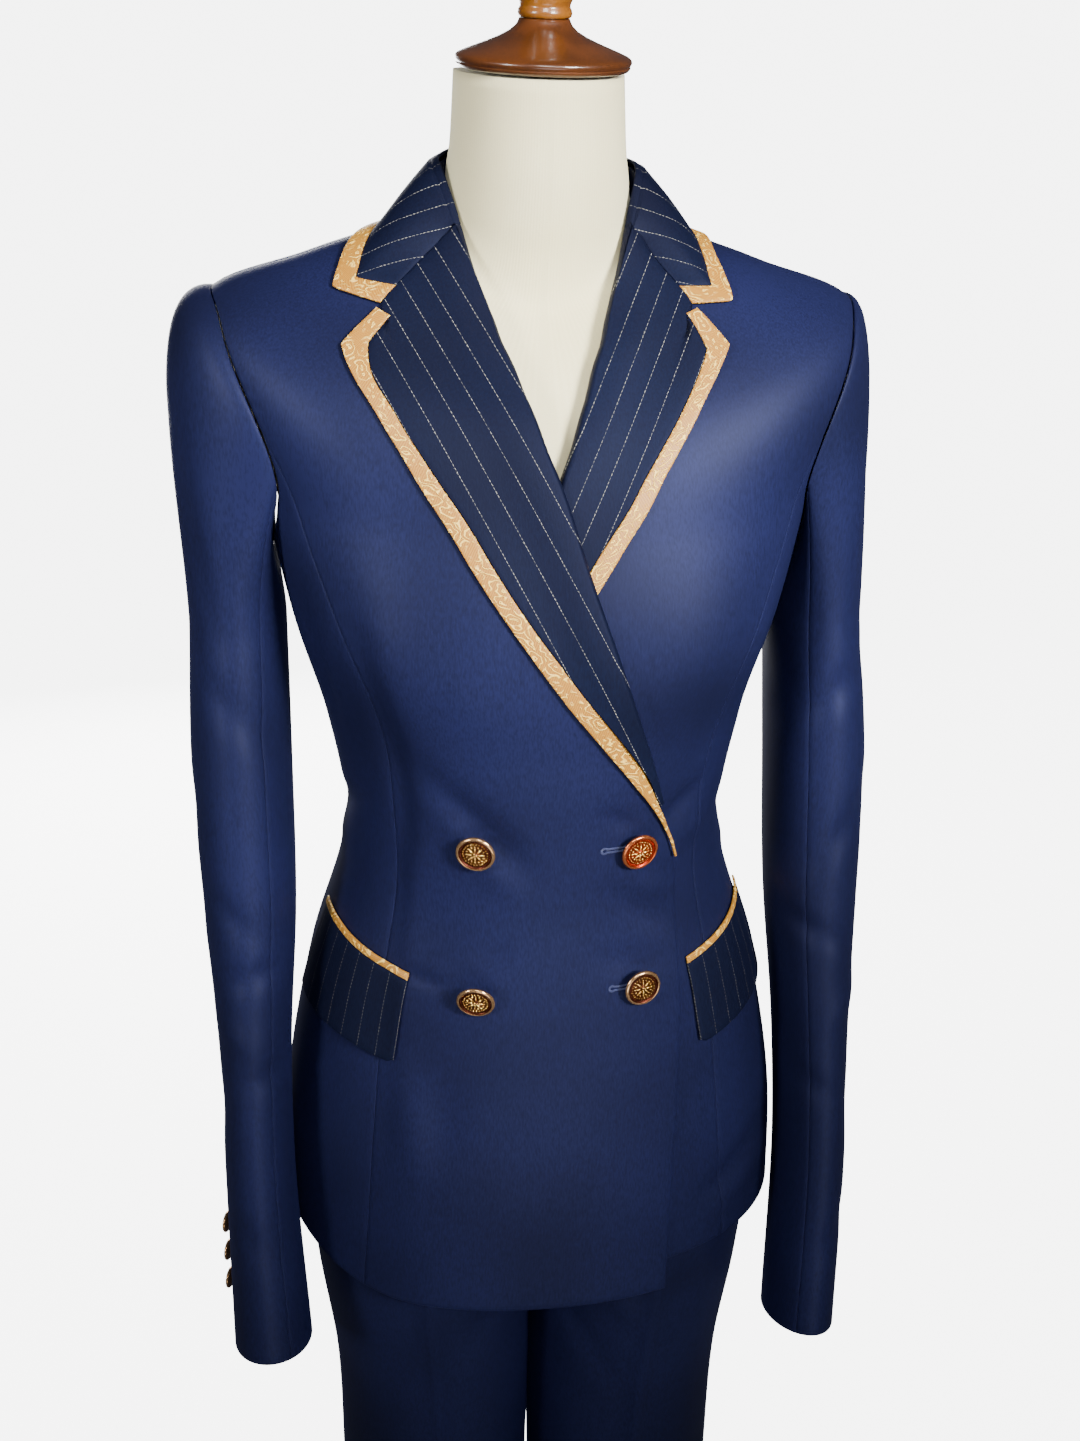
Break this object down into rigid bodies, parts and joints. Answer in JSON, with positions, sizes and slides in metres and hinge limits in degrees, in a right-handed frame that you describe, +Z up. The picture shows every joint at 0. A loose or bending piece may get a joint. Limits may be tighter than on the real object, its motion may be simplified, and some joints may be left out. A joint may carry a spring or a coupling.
{
  "type": "showmanship suit on dress form",
  "caption": "Women's double-breasted suit with wide peaked lapels, brocade-banded edges, flap pockets and straight trousers, dressed on a limbless form with a neck cap and a round floor stand.",
  "frame": {"origin": "centre of the stand's base on the floor, below the form", "axes": "+Z up; the wearer faces -Y, the wearer's left side is +X"},
  "size_m": [0.4556, 0.37, 1.6014],
  "materials": {
    "navy_satin": "navy suiting with a soft satin sheen",
    "pinstripe_cloth": "navy twill with fine cream pinstripes",
    "gold_brocade": "woven gold brocade with a scrolling leaf motif",
    "gilt_metal": "rose-gold plated, polished, with shallow relief",
    "linen": "natural cream linen cover",
    "dark_wood": "turned and varnished dark hardwood",
    "honey_wood": "turned and varnished amber wood",
    "blackened_steel": "black powder coat"
  },
  "bodies": {
    "root": {"jacket_front_right": "navy_satin", "jacket_front_left": "navy_satin", "jacket_side_right": "navy_satin", "jacket_side_left": "navy_satin", "jacket_back_right": "navy_satin", "jacket_back_left": "navy_satin", "sleeve_upper_right": "navy_satin", "sleeve_under_right": "navy_satin", "sleeve_upper_left": "navy_satin", "sleeve_under_left": "navy_satin", "lapel_right": "pinstripe_cloth", "lapel_left": "pinstripe_cloth", "lapel_trim_right": "gold_brocade", "lapel_trim_left": "gold_brocade", "collar": "pinstripe_cloth", "collar_trim": "gold_brocade", "collar_stand": "pinstripe_cloth", "flap_right": "pinstripe_cloth", "flap_left": "pinstripe_cloth", "welt_right": "gold_brocade", "welt_left": "gold_brocade", "button_upper_right": "gilt_metal", "button_upper_left": "gilt_metal", "button_lower_right": "gilt_metal", "button_lower_left": "gilt_metal", "cuff_button_1_right": "gilt_metal", "cuff_button_2_right": "gilt_metal", "cuff_button_3_right": "gilt_metal", "cuff_button_1_left": "gilt_metal", "cuff_button_2_left": "gilt_metal", "cuff_button_3_left": "gilt_metal", "trouser_front_right": "navy_satin", "trouser_back_right": "navy_satin", "trouser_front_left": "navy_satin", "trouser_back_left": "navy_satin", "waistband": "navy_satin", "form_body": "linen", "neck_cap": "dark_wood", "finial": "honey_wood", "pole": "blackened_steel", "base": "blackened_steel"}
  },
  "joints": []
}
